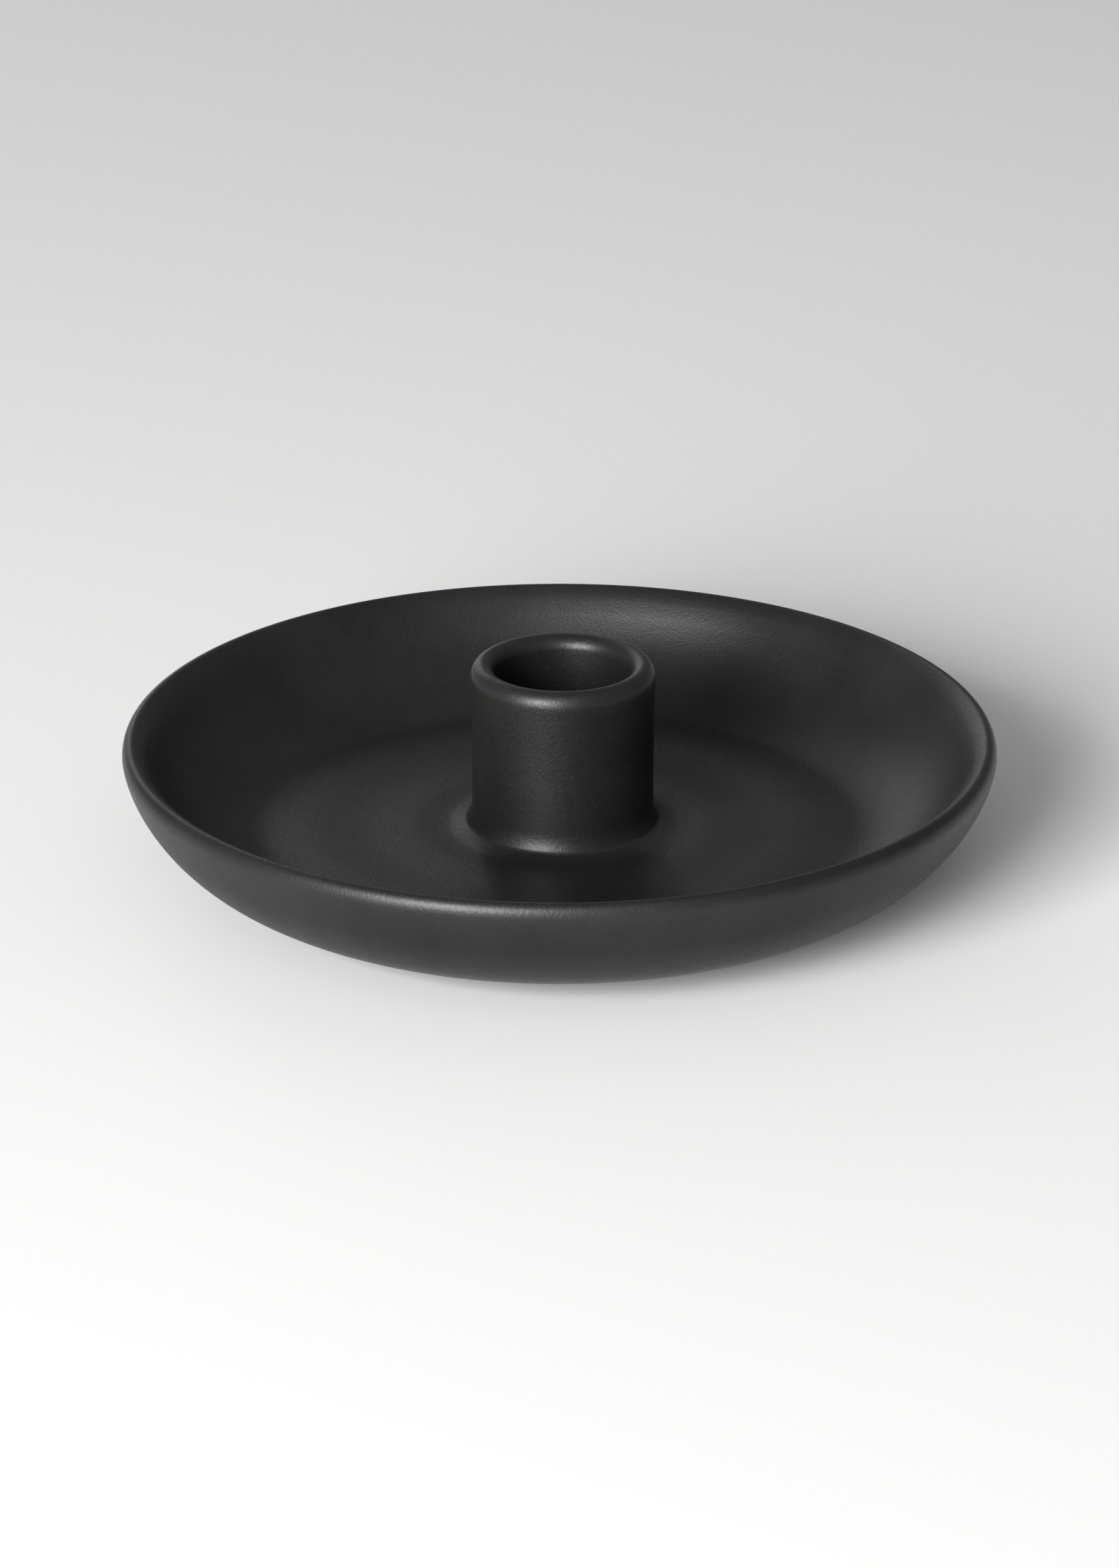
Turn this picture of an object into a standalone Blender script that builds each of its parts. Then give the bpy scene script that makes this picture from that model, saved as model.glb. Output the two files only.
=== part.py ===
"""A stoneware candle dish: a shallow round dish with a socket for one dinner candle, on four felt pads.

Metres, +Z up. The origin is on the axis of the dish, in the plane of the surface that it stands on.
"""

import math

import bpy

# Driving dimensions, in metres
DISH_RADIUS = 0.0725
WIDEST_ABOVE_FOOT = 0.0214
SOCKET_TOP_ABOVE_WIDEST = 0.0148
FLOOR_BELOW_WIDEST = 0.01375

RIM_OUTER_WIDTH = 0.0014
RIM_OUTER_HEIGHT = 0.0022

BORE_RADIUS = 0.01135
BORE_END_RADIUS = 0.0109
BORE_DEPTH = 0.0270
BORE_CORNER = 0.0020
LIP_CREST_RADIUS = 0.0134
LIP_RADIUS = 0.01535
LIP_INNER_HEIGHT = 0.0019
LIP_OUTER_HEIGHT = 0.0026
LIP_DEPTH = 0.0100
TUBE_RADIUS = 0.0151
# Arcs as swept() reads them, each its radius and the tilt at its end in degrees: where the tube meets the
# floor, and from the top of the rim down the inner wall to the floor
TUBE_FOOT_ARCS = ((0.0070, 25), (0.0006, 62), (0.0055, 90))
WALL_ARCS = (
    (0.0014, 55),
    (0.0080, 36),
    (0.0310, 31),
    (0.0440, 34.5),
    (0.0235, 49),
    (0.0200, 72),
    (0.0200, 90),
)

BOWL_BOTTOM_RADIUS = 0.0390
BOWL_DEPTH = 0.0202
OUTER_FLARE = 1.45
OUTER_BELLY = 2.9
FOOT_OUTER_RADIUS = 0.0425
FOOT_INNER_RADIUS = 0.0315
FOOT_ROUNDING = 0.0010
RECESS_DEPTH = 0.0020

PAD_RADIUS = 0.0040
PAD_THICKNESS = 0.0012
PAD_CENTRE_RADIUS = 0.0370
PAD_EDGE = 0.0003
PAD_COUNT = 4
GAP = 0.0003

TURN_STEPS = 64
PAD_SIDES = 24
MERGE = 0.00005

# Heights above the surface that the pads stand on
FOOT_Z = PAD_THICKNESS + GAP
WIDEST_Z = FOOT_Z + WIDEST_ABOVE_FOOT
FLOOR_Z = WIDEST_Z - FLOOR_BELOW_WIDEST
SOCKET_TOP_Z = WIDEST_Z + SOCKET_TOP_ABOVE_WIDEST
BORE_END_Z = SOCKET_TOP_Z - BORE_DEPTH


def arc(centre, width, height, start, end, steps):
    """Points (radius from the axis, height) on an elliptical arc, with angles in degrees from outwards."""
    points = []
    for i in range(steps + 1):
        angle = math.radians(start + (end - start) * i / steps)
        points.append((centre[0] + width * math.cos(angle), centre[1] + height * math.sin(angle)))
    return points


def bowl_curve(bottom_radius, top_radius, bottom_z, top_z, flare, belly, steps):
    """A superellipse from a steep wall at the top to a level one at the bottom, listed from the top down."""
    width = top_radius - bottom_radius
    height = top_z - bottom_z
    points = []
    for i in range(steps + 1):
        angle = math.pi / 2 * i / steps
        reach = math.cos(angle) ** (2 / belly)
        drop = math.sin(angle) ** (2 / flare)
        points.append((bottom_radius + width * reach, top_z - height * drop))
    return points


def swept(start, side, tilt, arcs, steps):
    """Points down a surface made of arcs that meet smoothly.

    It runs outwards if side is 1 and inwards if -1. Tilt is how far the surface's normal points up from
    level, in degrees. Each arc is its radius and the tilt at its end.
    """
    points = [start]
    for radius, end in arcs:
        from_r, from_z = points[-1]
        first, last = math.radians(tilt), math.radians(end)
        bend = math.copysign(radius, end - tilt)
        for i in range(1, steps + 1):
            angle = first + (last - first) * i / steps
            out = bend * (math.cos(first) - math.cos(angle))
            down = bend * (math.sin(angle) - math.sin(first))
            points.append((from_r + side * out, from_z - down))
        tilt = end
    return points


def tube_foot(steps):
    """The tube's foot, from its straight side down to the floor."""
    points = swept((TUBE_RADIUS, 0), 1, 0, TUBE_FOOT_ARCS, steps)
    rise = FLOOR_Z - points[-1][1]
    return [(r, z + rise) for r, z in points]


def inner_wall(steps):
    """From the top of the rim down the inside to the floor, its height fitted to the two."""
    top_z = WIDEST_Z + RIM_OUTER_HEIGHT
    points = swept((DISH_RADIUS - RIM_OUTER_WIDTH, top_z), -1, 90, WALL_ARCS, steps)
    stretch = (top_z - FLOOR_Z) / (top_z - points[-1][1])
    return [(r, top_z - (top_z - z) * stretch) for r, z in points]


def socket_profile():
    """From the middle of the bore's end, up the bore, over the lip and down the tube to the dish's floor."""
    corner_centre = (BORE_END_RADIUS - BORE_CORNER, BORE_END_Z + BORE_CORNER)
    corner = arc(corner_centre, BORE_CORNER, BORE_CORNER, -90, 0, 3)
    inner_width = LIP_CREST_RADIUS - BORE_RADIUS
    outer_width = LIP_RADIUS - LIP_CREST_RADIUS
    inner_centre = (LIP_CREST_RADIUS, SOCKET_TOP_Z - LIP_INNER_HEIGHT)
    outer_centre = (LIP_CREST_RADIUS, SOCKET_TOP_Z - LIP_OUTER_HEIGHT)
    inner_lip = arc(inner_centre, inner_width, LIP_INNER_HEIGHT, 180, 90, 5)
    outer_lip = arc(outer_centre, outer_width, LIP_OUTER_HEIGHT, 90, 0, 6)
    neck = [(TUBE_RADIUS, SOCKET_TOP_Z - LIP_DEPTH)]
    return [(0, BORE_END_Z)] + corner + inner_lip + outer_lip[1:] + neck + tube_foot(3)


def dish_profile():
    """From the floor's edge, up the inner wall, over the rim, down the outside and under to the middle."""
    inner = inner_wall(3)[::-1]
    rim = arc((inner[-1][0], WIDEST_Z), RIM_OUTER_WIDTH, RIM_OUTER_HEIGHT, 90, 0, 5)[1:]
    bottom_z = WIDEST_Z - BOWL_DEPTH
    outer = bowl_curve(BOWL_BOTTOM_RADIUS, DISH_RADIUS, bottom_z, WIDEST_Z, OUTER_FLARE, OUTER_BELLY, 16)
    outer = [point for point in outer[1:] if point[0] > FOOT_OUTER_RADIUS + FOOT_ROUNDING]
    foot_z = FOOT_Z + FOOT_ROUNDING
    foot_outer = arc((FOOT_OUTER_RADIUS - FOOT_ROUNDING, foot_z), FOOT_ROUNDING, FOOT_ROUNDING, 0, -90, 3)
    foot_inner = arc((FOOT_INNER_RADIUS + FOOT_ROUNDING, foot_z), FOOT_ROUNDING, FOOT_ROUNDING, -90, -180, 3)
    recess_z = FOOT_Z + RECESS_DEPTH
    underside = [(FOOT_INNER_RADIUS - FOOT_ROUNDING, recess_z), (0, recess_z)]
    return inner + rim + outer + foot_outer + foot_inner + underside


def material(name, colour, roughness):
    """A plain opaque material."""
    made = bpy.data.materials.new(name)
    made.use_nodes = True
    shader = made.node_tree.nodes["Principled BSDF"]
    shader.inputs["Base Color"].default_value = (*colour, 1)
    shader.inputs["Roughness"].default_value = roughness
    shader.inputs["Metallic"].default_value = 0
    made.diffuse_color = (*colour, 1)
    return made


def turned(name, profile, collection):
    """A solid of revolution about Z, from a profile whose two ends are on the axis."""
    mesh = bpy.data.meshes.new(name)
    edges = [(i, i + 1) for i in range(len(profile) - 1)]
    mesh.from_pydata([(r, 0, z) for r, z in profile], edges, [])
    obj = bpy.data.objects.new(name, mesh)
    collection.objects.link(obj)
    screw = obj.modifiers.new("Turn", "SCREW")
    screw.axis = "Z"
    screw.angle = math.tau
    screw.steps = TURN_STEPS
    screw.render_steps = TURN_STEPS
    screw.use_merge_vertices = True
    screw.merge_threshold = MERGE
    screw.use_smooth_shade = True
    return obj


def candle_dish(collection):
    """The single fired piece: dish, socket and foot ring."""
    dish = turned("candle_dish", socket_profile() + dish_profile(), collection)
    dish.data.materials.append(material("black_glaze", (0.022, 0.023, 0.0225), 0.38))
    return dish


def foot_pad(index, felt, collection):
    """One self-adhesive felt disc under the foot ring."""
    bpy.ops.mesh.primitive_cylinder_add(vertices=PAD_SIDES, radius=PAD_RADIUS, depth=PAD_THICKNESS)
    pad = bpy.context.object
    pad.name = f"foot_pad_{index + 1}"
    angle = math.tau * (index + 0.5) / PAD_COUNT
    pad.location = (
        PAD_CENTRE_RADIUS * math.cos(angle),
        PAD_CENTRE_RADIUS * math.sin(angle),
        PAD_THICKNESS / 2,
    )
    bevel = pad.modifiers.new("Soft edge", "BEVEL")
    bevel.width = PAD_EDGE
    bevel.segments = 2
    bevel.limit_method = "ANGLE"
    pad.data.shade_smooth()
    pad.data.set_sharp_from_angle(angle=math.radians(40))
    pad.data.materials.append(felt)
    for holder in list(pad.users_collection):
        holder.objects.unlink(pad)
    collection.objects.link(pad)
    return pad


def main():
    for obj in list(bpy.data.objects):
        bpy.data.objects.remove(obj, do_unlink=True)
    collection = bpy.data.collections.new("candle_dish_with_socket")
    bpy.context.scene.collection.children.link(collection)
    candle_dish(collection)
    felt = material("dark_felt", (0.035, 0.035, 0.037), 0.95)
    for index in range(PAD_COUNT):
        foot_pad(index, felt, collection)


main()
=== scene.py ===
"""The looks of the candle dish: its glazed surface, felt pads, camera, floor and studio light."""

import math

import bpy
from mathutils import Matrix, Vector, noise


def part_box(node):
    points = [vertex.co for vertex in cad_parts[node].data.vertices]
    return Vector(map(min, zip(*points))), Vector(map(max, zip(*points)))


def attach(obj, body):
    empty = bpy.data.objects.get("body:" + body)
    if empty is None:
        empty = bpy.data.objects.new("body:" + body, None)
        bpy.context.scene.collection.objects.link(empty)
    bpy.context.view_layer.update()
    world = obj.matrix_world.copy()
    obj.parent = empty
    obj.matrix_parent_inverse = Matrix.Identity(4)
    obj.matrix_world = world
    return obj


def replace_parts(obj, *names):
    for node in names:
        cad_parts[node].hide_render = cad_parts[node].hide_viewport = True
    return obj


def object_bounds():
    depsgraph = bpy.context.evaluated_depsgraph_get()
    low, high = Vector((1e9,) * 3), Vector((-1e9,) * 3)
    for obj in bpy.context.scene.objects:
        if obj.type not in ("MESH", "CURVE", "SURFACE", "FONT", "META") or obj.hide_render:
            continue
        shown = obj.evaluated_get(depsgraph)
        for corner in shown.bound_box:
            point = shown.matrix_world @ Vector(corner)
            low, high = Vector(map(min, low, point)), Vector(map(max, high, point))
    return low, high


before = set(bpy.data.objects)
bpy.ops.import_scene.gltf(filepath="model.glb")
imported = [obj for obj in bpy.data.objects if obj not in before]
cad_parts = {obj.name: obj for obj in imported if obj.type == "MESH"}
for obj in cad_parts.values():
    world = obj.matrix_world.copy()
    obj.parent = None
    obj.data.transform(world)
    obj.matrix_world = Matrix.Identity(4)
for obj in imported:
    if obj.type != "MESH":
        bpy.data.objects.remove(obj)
cad_low, cad_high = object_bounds()

# Camera: a long lens one metre away, looking down at the middle of the rim
VIEW_DISTANCE = 1.0
VIEW_ELEVATION = math.radians(21.83)
LENS_MM = 138.3
SENSOR_MM = 36.0
AIM_BELOW_RIM = 0.00734
RIM_PLANE_ABOVE_WIDEST = 0.0010

# Light: each softbox is (name, azimuth, elevation, width, height, radiance), in degrees and metres
LIGHT_DISTANCE = 2.0
LIGHT_AIM_Z = 0.02
SOFTBOXES = (
    ("key", -28.2, 18, 1.00, 1.00, 28.0),
    ("top", -15, 45, 2.20, 1.20, 0.5),
    ("back", 199, 19, 0.90, 1.00, 1.1),
)
WORLD_RADIANCE = 0.22
FLOOR_HALF_SIDE = 8.0
FLOOR_COLOUR = (0.89, 0.89, 0.885, 1)
FLOOR_ROUGHNESS = 0.8

# Profile of the dish, in metres: radii from the axis, and heights measured from the CAD's own box
SOCKET_TOP_ABOVE_WIDEST = 0.0148
FLOOR_BELOW_WIDEST = 0.01375
WIDEST_ABOVE_FOOT = 0.0214
DISH_RADIUS = (cad_high[0] - cad_low[0]) / 2
SOCKET_TOP_Z = cad_high[2]
WIDEST_Z = SOCKET_TOP_Z - SOCKET_TOP_ABOVE_WIDEST
FLOOR_Z = WIDEST_Z - FLOOR_BELOW_WIDEST
FOOT_Z = WIDEST_Z - WIDEST_ABOVE_FOOT

RIM_OUTER_WIDTH = 0.0014
RIM_OUTER_HEIGHT = 0.0022
BORE_RADIUS = 0.01135
BORE_END_RADIUS = 0.0109
BORE_DEPTH = 0.0270
BORE_CORNER = 0.0020
LIP_CREST_RADIUS = 0.0134
LIP_RADIUS = 0.01535
LIP_INNER_HEIGHT = 0.0024
LIP_OUTER_HEIGHT = 0.0026
LIP_DEPTH = 0.0100
TUBE_RADIUS = 0.0151
# Arcs as swept() reads them, each its radius and the tilt at its end in degrees: where the tube meets the
# floor, and from the top of the rim down the inner wall to the floor
TUBE_FOOT_ARCS = ((0.0070, 25), (0.0012, 66), (0.0080, 90))
WALL_ARCS = (
    (0.0014, 55),
    (0.0080, 36),
    (0.0310, 31),
    (0.0440, 34.5),
    (0.0235, 49),
    (0.0200, 72),
    (0.0200, 90),
)
BOWL_BOTTOM_RADIUS = 0.0390
BOWL_DEPTH = 0.0202
OUTER_FLARE = 1.45
OUTER_BELLY = 2.9
FOOT_OUTER_RADIUS = 0.0425
FOOT_INNER_RADIUS = 0.0315
FOOT_ROUNDING = 0.0010
RECESS_DEPTH = 0.0020

# Throwing rings: the slight rise and fall that turning left in the dish's floor. They fade in between the
# first two radii and out between the last two.
RING_HEIGHT = 0.00009
RING_PITCH = 0.0165
RING_CREST = 0.0245
RING_FADE_IN = (0.019, 0.024)
RING_FADE_OUT = (0.048, 0.060)

# The socket stands a little right of the dish's centre. The shift is whole inside SHIFT_INNER and fades out
# towards SHIFT_OUTER.
SOCKET_SHIFT = 0.00055
SHIFT_INNER = 0.022
SHIFT_OUTER = 0.042

TURN_STEPS = 288
PAD_STEPS = 96
GAP = 0.0003

# The part of its range from 0 to 1 that a noise mostly fills, and a narrower and a wider part
NOISE_RANGE = (0.3, 0.7)
NARROW_RANGE = (0.35, 0.65)
WIDE_RANGE = (0.2, 0.8)

# The glaze's relief and colours, with sizes in metres
GRAIN_SIZE = 0.00045
GRAIN_DEPTH = 0.000045
PEBBLE_SIZE = 0.0022
PEBBLE_DEPTH = 0.000005
CLOUD_SIZE = 0.018
ROUGHNESS_LOW = 0.315
ROUGHNESS_HIGH = 0.345
GRAIN_GLOSS = 0.16
SPECK_RANGE = (0.62, 0.80)
GLAZE_DARK = (0.0065, 0.0071, 0.0068, 1)
GLAZE_LIGHT = (0.0120, 0.0127, 0.0116, 1)
GLAZE_SPECK = (0.0240, 0.0245, 0.0225, 1)
GLAZE_SPECULAR = 0.37
# Outside, under the widest level, the glaze is thinner and duller. That part lies where the distance from
# the axis, less OUTSIDE_SLOPE of the height, is over OUTSIDE_START. It is fully dull from OUTSIDE_END on.
OUTSIDE_SLOPE = 0.8
OUTSIDE_START = 0.0545
OUTSIDE_END = 0.0570
OUTSIDE_SPECULAR = 0.18
OUTSIDE_ROUGHER = 0.05
GLAZE_LINE = 0.0006
GLAZE_LINE_WANDER = 0.0004
GLAZE_LINE_SOFTNESS = 0.0001
CLAY_GRAIN_SIZE = 0.00035
CLAY_DARK = (0.085, 0.070, 0.058, 1)
CLAY_LIGHT = (0.150, 0.125, 0.100, 1)
CLAY_ROUGHNESS = 0.9

# The felt pads and the film that holds them
FELT_EDGE = 0.00025
FELT_UNEVEN = 0.012
FELT_CLUMP = 0.0009
FELT_DARK = (0.014, 0.014, 0.015, 1)
FELT_LIGHT = (0.062, 0.062, 0.066, 1)
FELT_COLOUR_RANGE = (0.35, 0.7)
FIBRE_SIZE = 0.00012
FIBRE_STRETCH = 0.22
FIBRE_DEPTH = 0.00004
FELT_ROUGH = 0.98
FELT_SMOOTH = 0.86
FELT_SHEEN = 0.35
FELT_SHEEN_ROUGHNESS = 0.6
FILM_INSET = 0.0001
FILM_OVERLAP = 0.00001
FILM_EDGE = 0.00005
FILM_STREAK = 0.0008
FILM_STRETCH = 0.3
FILM_DARK = (0.50, 0.46, 0.37, 1)
FILM_LIGHT = (0.62, 0.58, 0.48, 1)
FILM_SMOOTH = 0.35
FILM_ROUGH = 0.55
FILM_DEPTH = 0.00001


def arc(centre, width, height, start, end, steps):
    """Points (radius from the axis, height) on an elliptical arc, with angles in degrees from outwards."""
    points = []
    for i in range(steps + 1):
        angle = math.radians(start + (end - start) * i / steps)
        points.append((centre[0] + width * math.cos(angle), centre[1] + height * math.sin(angle)))
    return points


def line(start, end, steps):
    """Points on a straight run, without its two ends."""
    return [
        (start[0] + (end[0] - start[0]) * i / steps, start[1] + (end[1] - start[1]) * i / steps)
        for i in range(1, steps)
    ]


def bowl_curve(bottom_radius, top_radius, bottom_z, top_z, flare, belly, steps):
    """A superellipse from a steep wall at the top to a level one at the bottom, listed from the top down."""
    width = top_radius - bottom_radius
    height = top_z - bottom_z
    points = []
    for i in range(steps + 1):
        angle = math.pi / 2 * i / steps
        drop = math.sin(angle) ** (2 / flare)
        reach = math.cos(angle) ** (2 / belly)
        points.append((bottom_radius + width * reach, top_z - height * drop))
    return points


def swept(start, side, tilt, arcs, steps):
    """Points down a surface made of arcs that meet smoothly.

    It runs outwards if side is 1 and inwards if -1. Tilt is how far the surface's normal points up from
    level, in degrees. Each arc is its radius and the tilt at its end.
    """
    points = [start]
    for radius, end in arcs:
        from_r, from_z = points[-1]
        first, last = math.radians(tilt), math.radians(end)
        bend = math.copysign(radius, end - tilt)
        for i in range(1, steps + 1):
            angle = first + (last - first) * i / steps
            out = bend * (math.cos(first) - math.cos(angle))
            down = bend * (math.sin(angle) - math.sin(first))
            points.append((from_r + side * out, from_z - down))
        tilt = end
    return points


def tube_foot(steps):
    """The tube's foot, from its straight side down to the floor."""
    points = swept((TUBE_RADIUS, 0), 1, 0, TUBE_FOOT_ARCS, steps)
    rise = FLOOR_Z - points[-1][1]
    return [(r, z + rise) for r, z in points]


def inner_wall(steps):
    """From the top of the rim down the inside to the floor, its height fitted to the two."""
    top_z = WIDEST_Z + RIM_OUTER_HEIGHT
    points = swept((DISH_RADIUS - RIM_OUTER_WIDTH, top_z), -1, 90, WALL_ARCS, steps)
    stretch = (top_z - FLOOR_Z) / (top_z - points[-1][1])
    return [(r, top_z - (top_z - z) * stretch) for r, z in points]


def socket_profile():
    """From the middle of the bore's end, up the bore, over the lip and down the tube to the dish's floor."""
    bore_end_z = SOCKET_TOP_Z - BORE_DEPTH
    corner_centre = (BORE_END_RADIUS - BORE_CORNER, bore_end_z + BORE_CORNER)
    corner = arc(corner_centre, BORE_CORNER, BORE_CORNER, -90, 0, 8)
    inner_width = LIP_CREST_RADIUS - BORE_RADIUS
    outer_width = LIP_RADIUS - LIP_CREST_RADIUS
    inner_centre = (LIP_CREST_RADIUS, SOCKET_TOP_Z - LIP_INNER_HEIGHT)
    outer_centre = (LIP_CREST_RADIUS, SOCKET_TOP_Z - LIP_OUTER_HEIGHT)
    inner_lip = arc(inner_centre, inner_width, LIP_INNER_HEIGHT, 180, 90, 16)
    outer_lip = arc(outer_centre, outer_width, LIP_OUTER_HEIGHT, 90, 0, 20)
    neck = (TUBE_RADIUS, SOCKET_TOP_Z - LIP_DEPTH)
    foot = tube_foot(12)
    return (
        [(0, bore_end_z)] + line((0, bore_end_z), corner[0], 6) + corner
        + line(corner[-1], inner_lip[0], 10) + inner_lip + outer_lip[1:]
        + line(outer_lip[-1], neck, 8) + [neck] + line(neck, foot[0], 6) + foot
    )


def smooth_step(start, end, value):
    """From 0 at start to 1 at end, level at both."""
    share = min(1.0, max(0.0, (value - start) / (end - start)))
    return share * share * (3 - 2 * share)


def ringed(point):
    """A point of the dish's upper side, raised or lowered by the throwing rings."""
    radius, z = point
    fade_in = smooth_step(RING_FADE_IN[0], RING_FADE_IN[1], radius)
    fade_out = smooth_step(RING_FADE_OUT[1], RING_FADE_OUT[0], radius)
    rise = RING_HEIGHT * fade_in * fade_out
    return radius, z + rise * math.cos(math.tau * (radius - RING_CREST) / RING_PITCH)


def dish_profile():
    """From the socket's foot, over the floor, up the inner wall, over the rim and under to the middle."""
    wall = inner_wall(14)[::-1]
    floor = line(tube_foot(1)[-1], wall[0], 64)
    inner = [ringed(point) for point in floor + wall]
    crest_radius = wall[-1][0]
    rim = arc((crest_radius, WIDEST_Z), RIM_OUTER_WIDTH, RIM_OUTER_HEIGHT, 90, 0, 16)[1:]
    bottom_z = WIDEST_Z - BOWL_DEPTH
    outer = bowl_curve(BOWL_BOTTOM_RADIUS, DISH_RADIUS, bottom_z, WIDEST_Z, OUTER_FLARE, OUTER_BELLY, 56)
    outer = [point for point in outer[1:] if point[0] > FOOT_OUTER_RADIUS + FOOT_ROUNDING]
    foot_z = FOOT_Z + FOOT_ROUNDING
    foot_outer = arc((FOOT_OUTER_RADIUS - FOOT_ROUNDING, foot_z), FOOT_ROUNDING, FOOT_ROUNDING, 0, -90, 8)
    foot_inner = arc((FOOT_INNER_RADIUS + FOOT_ROUNDING, foot_z), FOOT_ROUNDING, FOOT_ROUNDING, -90, -180, 8)
    recess_z = FOOT_Z + RECESS_DEPTH
    underside = [(FOOT_INNER_RADIUS - FOOT_ROUNDING, recess_z), (0, recess_z)]
    return inner + rim + outer + foot_outer + foot_inner + underside


def off_centre(x, y, z):
    """Where a point of the dish goes: the whole socket moves along X, fading out over the floor."""
    if z < FOOT_Z + RECESS_DEPTH + GAP:
        return x, y, z
    return x + SOCKET_SHIFT * smooth_step(SHIFT_OUTER, SHIFT_INNER, math.hypot(x, y)), y, z


def turned(name, profile, steps, place):
    """A closed mesh of revolution. The profile's ends are on the axis, and place moves each point."""
    turns = [(math.cos(math.tau * i / steps), math.sin(math.tau * i / steps)) for i in range(steps)]
    vertices, faces, rows = [], [], []
    for radius, z in profile:
        if radius == 0:
            rows.append([len(vertices)] * steps)
            vertices.append(place(0, 0, z))
        else:
            rows.append(list(range(len(vertices), len(vertices) + steps)))
            vertices += [place(radius * cos, radius * sin, z) for cos, sin in turns]
    for upper, lower in zip(rows, rows[1:]):
        for i in range(steps):
            j = (i + 1) % steps
            corners = [upper[i], lower[i], lower[j], upper[j]]
            faces.append(list(dict.fromkeys(corners)))
    mesh = bpy.data.meshes.new(name)
    mesh.from_pydata(vertices, [], faces)
    mesh.update()
    mesh.shade_smooth()
    obj = bpy.data.objects.new(name, mesh)
    bpy.context.scene.collection.objects.link(obj)
    return obj


def disc_profile(radius, low, high, rounding):
    """A disc with rounded edges, from the middle of its top to the middle of its underside."""
    inner = radius - rounding
    top = arc((inner, high - rounding), rounding, rounding, 90, 0, 6)
    under = arc((inner, low + rounding), rounding, rounding, 0, -90, 6)
    side = line(top[-1], under[0], 5)
    return (
        [(0, high)] + line((0, high), top[0], 12) + top + side + under
        + line(under[-1], (0, low), 12) + [(0, low)]
    )


def add_piece(obj, material):
    """Gives a piece its material and slot, and fixes it to the dish's one body."""
    obj.data.materials.append(material)
    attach(obj, "root")
    return obj


def add_dish(glaze):
    dish = turned("glazed_dish", socket_profile() + dish_profile(), TURN_STEPS, off_centre)
    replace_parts(add_piece(dish, glaze), "candle_dish")


def add_foot_pad(node_name, felt, adhesive):
    """A die-cut felt disc with its adhesive film, in the place of one CAD pad."""
    low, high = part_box(node_name)
    centre_x, centre_y = (low[0] + high[0]) / 2, (low[1] + high[1]) / 2
    radius, top = (high[0] - low[0]) / 2, high[2]

    def matted(x, y, z):
        """Felt's uneven surface: the sides and the top move a little, and the underside stays flat."""
        spot = Vector((centre_x + x, centre_y + y, z)) / FELT_CLUMP
        share = math.hypot(x, y) / radius
        swell = 1 - FELT_UNEVEN * share * (0.5 + 0.5 * noise.noise(spot))
        return centre_x + x * swell, centre_y + y * swell, z

    def flat(x, y, z):
        return centre_x + x, centre_y + y, z

    pad_profile = disc_profile(radius, 0, top, FELT_EDGE)
    pad = turned(node_name.replace("foot_pad", "felt_pad"), pad_profile, PAD_STEPS, matted)
    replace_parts(add_piece(pad, felt), node_name)
    film_low, film_high = top - FILM_OVERLAP, FOOT_Z - FILM_OVERLAP
    film_profile = disc_profile(radius - FILM_INSET, film_low, film_high, FILM_EDGE)
    film = turned(node_name.replace("foot_pad", "adhesive_film"), film_profile, PAD_STEPS, flat)
    add_piece(film, adhesive)


def node(tree, kind, settings=None, **inputs):
    """A shader node with some of its settings and its inputs' values."""
    made = tree.nodes.new(kind)
    for name, value in (settings or {}).items():
        setattr(made, name, value)
    for name, value in inputs.items():
        made.inputs[name.replace("_", " ")].default_value = value
    return made


def new_material(name):
    """A material, its node tree, its shader, and the place on the object that its textures read."""
    made = bpy.data.materials.new(name)
    made.use_nodes = True
    tree = made.node_tree
    place = node(tree, "ShaderNodeTexCoord").outputs["Object"]
    return made, tree, tree.nodes["Principled BSDF"], place


def texture(tree, place, size, detail=2.0, roughness=0.5, stretch=None):
    """Noise from 0 to 1, whose features are about size metres across."""
    if stretch:
        scaled = node(tree, "ShaderNodeMapping", Scale=stretch)
        tree.links.new(place, scaled.inputs["Vector"])
        place = scaled.outputs["Vector"]
    made = node(tree, "ShaderNodeTexNoise", Scale=1 / size, Detail=detail, Roughness=roughness)
    tree.links.new(place, made.inputs["Vector"])
    return made.outputs["Fac"]


def spread(tree, value, low, high, new_low, new_high):
    """The value moved from one range to another, and kept inside it."""
    made = node(tree, "ShaderNodeMapRange", {"clamp": True})
    ends = {"From Min": low, "From Max": high, "To Min": new_low, "To Max": new_high}
    for name, number in ends.items():
        made.inputs[name].default_value = number
    tree.links.new(value, made.inputs["Value"])
    return made.outputs["Result"]


def mixed(tree, share, first, second, kind="FLOAT"):
    """first and second, each a number, a colour or an output, mixed by an output from 0 to 1."""
    made = node(tree, "ShaderNodeMix", {"data_type": kind})
    first_input, output = {"FLOAT": (2, 0), "RGBA": (6, 2)}[kind]
    tree.links.new(share, made.inputs[0])
    for index, value in ((first_input, first), (first_input + 1, second)):
        if isinstance(value, bpy.types.NodeSocket):
            tree.links.new(value, made.inputs[index])
        else:
            made.inputs[index].default_value = value
    return made.outputs[output]


def joined(tree, first, second, second_share):
    """first plus second_share times second."""
    made = node(tree, "ShaderNodeMath", {"operation": "MULTIPLY_ADD"})
    tree.links.new(second, made.inputs[0])
    made.inputs[1].default_value = second_share
    tree.links.new(first, made.inputs[2])
    return made.outputs[0]


def bumped(tree, shader, height, depth):
    """Reads height, from 0 to 1, as relief that is depth metres deep."""
    made = node(tree, "ShaderNodeBump", Strength=1.0, Distance=depth)
    tree.links.new(height, made.inputs["Height"])
    tree.links.new(made.outputs["Normal"], shader.inputs["Normal"])


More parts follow.
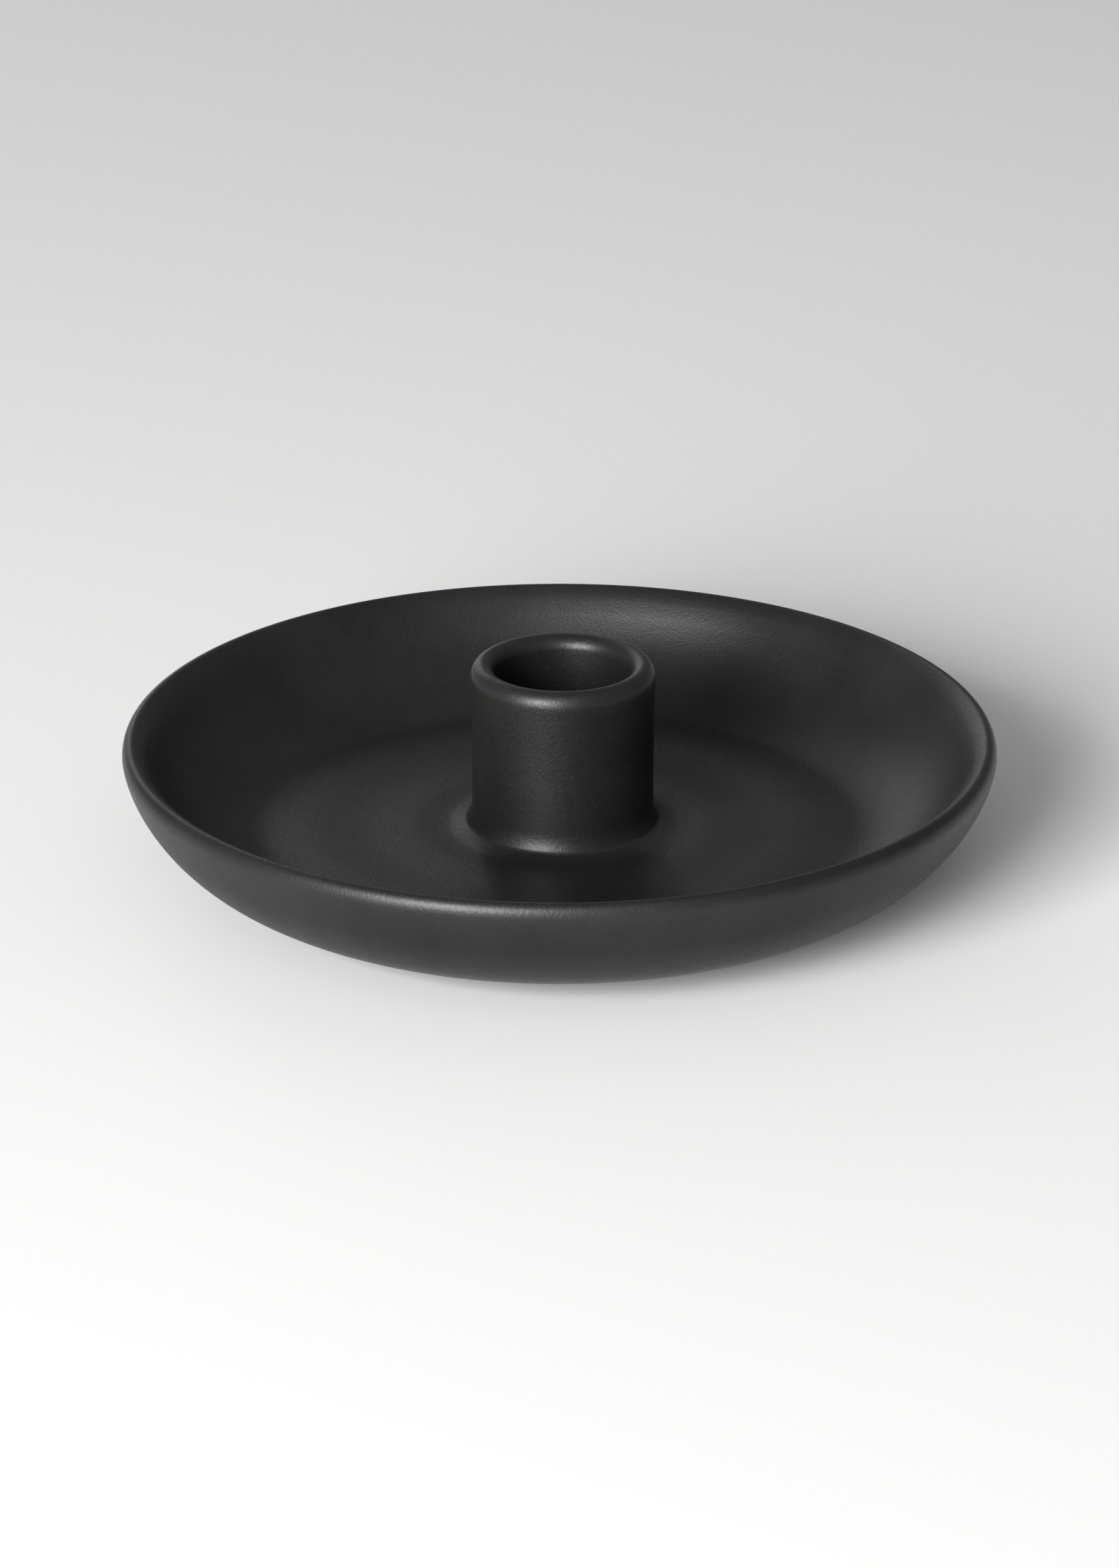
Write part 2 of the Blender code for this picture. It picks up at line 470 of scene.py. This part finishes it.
def glaze_material():
    """Satin black stoneware glaze with a fine grain, and bare fired clay where the foot ring was wiped."""
    made, tree, shader, place = new_material("black_glaze")
    grain = texture(tree, place, GRAIN_SIZE, 3.0, 0.6)
    pebble = texture(tree, place, PEBBLE_SIZE, 2.0)
    cloud = texture(tree, place, CLOUD_SIZE, 3.0, 0.55)
    colour = mixed(tree, spread(tree, cloud, *NOISE_RANGE, 0, 1), GLAZE_DARK, GLAZE_LIGHT, "RGBA")
    colour = mixed(tree, spread(tree, grain, *SPECK_RANGE, 0, 1), colour, GLAZE_SPECK, "RGBA")
    gloss = spread(tree, pebble, *NOISE_RANGE, ROUGHNESS_LOW, ROUGHNESS_HIGH)
    gloss = joined(tree, gloss, grain, GRAIN_GLOSS)
    height = node(tree, "ShaderNodeSeparateXYZ")
    tree.links.new(place, height.inputs[0])
    ragged = joined(tree, height.outputs["Z"], pebble, GLAZE_LINE_WANDER)
    line_z = FOOT_Z + GLAZE_LINE
    bare = spread(tree, ragged, line_z + GLAZE_LINE_SOFTNESS, line_z, 0, 1)
    clay_grain = texture(tree, place, CLAY_GRAIN_SIZE, 4.0, 0.65)
    clay = mixed(tree, spread(tree, clay_grain, *NOISE_RANGE, 0, 1), CLAY_DARK, CLAY_LIGHT, "RGBA")
    tree.links.new(mixed(tree, bare, colour, clay, "RGBA"), shader.inputs["Base Color"])
    across = node(tree, "ShaderNodeMapping", Scale=(1, 1, 0))
    tree.links.new(place, across.inputs["Vector"])
    radius = node(tree, "ShaderNodeVectorMath", {"operation": "LENGTH"})
    tree.links.new(across.outputs["Vector"], radius.inputs[0])
    outwards = joined(tree, radius.outputs["Value"], height.outputs["Z"], -OUTSIDE_SLOPE)
    outside = spread(tree, outwards, OUTSIDE_START, OUTSIDE_END, 0, 1)
    gloss = joined(tree, gloss, outside, OUTSIDE_ROUGHER)
    tree.links.new(mixed(tree, bare, gloss, CLAY_ROUGHNESS), shader.inputs["Roughness"])
    specular = mixed(tree, outside, GLAZE_SPECULAR, OUTSIDE_SPECULAR)
    tree.links.new(specular, shader.inputs["Specular IOR Level"])
    relief = joined(tree, pebble, grain, GRAIN_DEPTH / PEBBLE_DEPTH)
    relief = mixed(tree, bare, relief, clay_grain)
    bumped(tree, shader, relief, PEBBLE_DEPTH)
    return made


def felt_material():
    """Dark pressed wool felt: short fibres lying all ways, lighter on top of darker."""
    made, tree, shader, place = new_material("dark_felt")
    fibre_a = texture(tree, place, FIBRE_SIZE, 3.0, 0.6, stretch=(1.0, FIBRE_STRETCH, 1.0))
    fibre_b = texture(tree, place, FIBRE_SIZE, 3.0, 0.6, stretch=(FIBRE_STRETCH, 1.0, 1.0))
    clump = texture(tree, place, FELT_CLUMP, 2.0)
    fibres = mixed(tree, spread(tree, clump, *NARROW_RANGE, 0, 1), fibre_a, fibre_b)
    colour = mixed(tree, spread(tree, fibres, *FELT_COLOUR_RANGE, 0, 1), FELT_DARK, FELT_LIGHT, "RGBA")
    tree.links.new(colour, shader.inputs["Base Color"])
    roughness = spread(tree, fibres, *NOISE_RANGE, FELT_ROUGH, FELT_SMOOTH)
    tree.links.new(roughness, shader.inputs["Roughness"])
    shader.inputs["Sheen Weight"].default_value = FELT_SHEEN
    shader.inputs["Sheen Roughness"].default_value = FELT_SHEEN_ROUGHNESS
    bumped(tree, shader, fibres, FIBRE_DEPTH)
    return made


def adhesive_material():
    """The pale double-sided film that holds a pad."""
    made, tree, shader, place = new_material("adhesive_film")
    streak = texture(tree, place, FILM_STREAK, 2.0, stretch=(1.0, FILM_STRETCH, 1.0))
    tree.links.new(mixed(tree, streak, FILM_DARK, FILM_LIGHT, "RGBA"), shader.inputs["Base Color"])
    roughness = spread(tree, streak, *WIDE_RANGE, FILM_SMOOTH, FILM_ROUGH)
    tree.links.new(roughness, shader.inputs["Roughness"])
    bumped(tree, shader, streak, FILM_DEPTH)
    return made


def add_floor():
    mesh = bpy.data.meshes.new("floor")
    side = FLOOR_HALF_SIDE
    corners = [(-side, -side, 0), (side, -side, 0), (side, side, 0), (-side, side, 0)]
    mesh.from_pydata(corners, [], [(0, 1, 2, 3)])
    floor = bpy.data.objects.new("floor", mesh)
    bpy.context.scene.collection.objects.link(floor)
    paint = bpy.data.materials.new("pale_floor")
    paint.use_nodes = True
    shader = paint.node_tree.nodes["Principled BSDF"]
    shader.inputs["Base Color"].default_value = FLOOR_COLOUR
    shader.inputs["Roughness"].default_value = FLOOR_ROUGHNESS
    mesh.materials.append(paint)


def add_camera():
    rim_centre = Vector((0, 0, WIDEST_Z + RIM_PLANE_ABOVE_WIDEST))
    back = Vector((0, -math.cos(VIEW_ELEVATION), math.sin(VIEW_ELEVATION)))
    up = Vector((0, math.sin(VIEW_ELEVATION), math.cos(VIEW_ELEVATION)))
    data = bpy.data.cameras.new("camera")
    data.sensor_width = SENSOR_MM
    data.lens = LENS_MM
    camera = bpy.data.objects.new("camera", data)
    camera.location = rim_centre + VIEW_DISTANCE * back
    aim = rim_centre - AIM_BELOW_RIM * up
    camera.rotation_euler = (aim - camera.location).to_track_quat("-Z", "Y").to_euler()
    bpy.context.scene.collection.objects.link(camera)
    bpy.context.scene.camera = camera


def add_world(strength):
    world = bpy.data.worlds.new("studio")
    world.use_nodes = True
    background = world.node_tree.nodes["Background"]
    background.inputs["Color"].default_value = (1, 1, 1, 1)
    background.inputs["Strength"].default_value = strength
    bpy.context.scene.world = world


def add_softbox(name, azimuth, elevation, width, height, radiance):
    """A square light aimed at the dish. Azimuth runs from the camera's side towards +X, in degrees."""
    turn, lift = math.radians(azimuth), math.radians(elevation)
    back = Vector((math.sin(turn) * math.cos(lift), -math.cos(turn) * math.cos(lift), math.sin(lift)))
    data = bpy.data.lights.new(name, "AREA")
    data.shape = "RECTANGLE"
    data.size, data.size_y = width, height
    data.energy = radiance * math.pi * width * height
    light = bpy.data.objects.new(name, data)
    light.location = LIGHT_DISTANCE * back + Vector((0, 0, LIGHT_AIM_Z))
    light.rotation_euler = back.to_track_quat("Z", "Y").to_euler()
    light.visible_camera = False
    bpy.context.scene.collection.objects.link(light)


def main():
    add_camera()
    add_floor()
    add_world(WORLD_RADIANCE)
    for softbox in SOFTBOXES:
        add_softbox(*softbox)
    bpy.context.scene.view_settings.view_transform = "Standard"
    add_dish(glaze_material())
    felt, adhesive = felt_material(), adhesive_material()
    for name in sorted(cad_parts):
        if name.startswith("foot_pad"):
            add_foot_pad(name, felt, adhesive)


main()
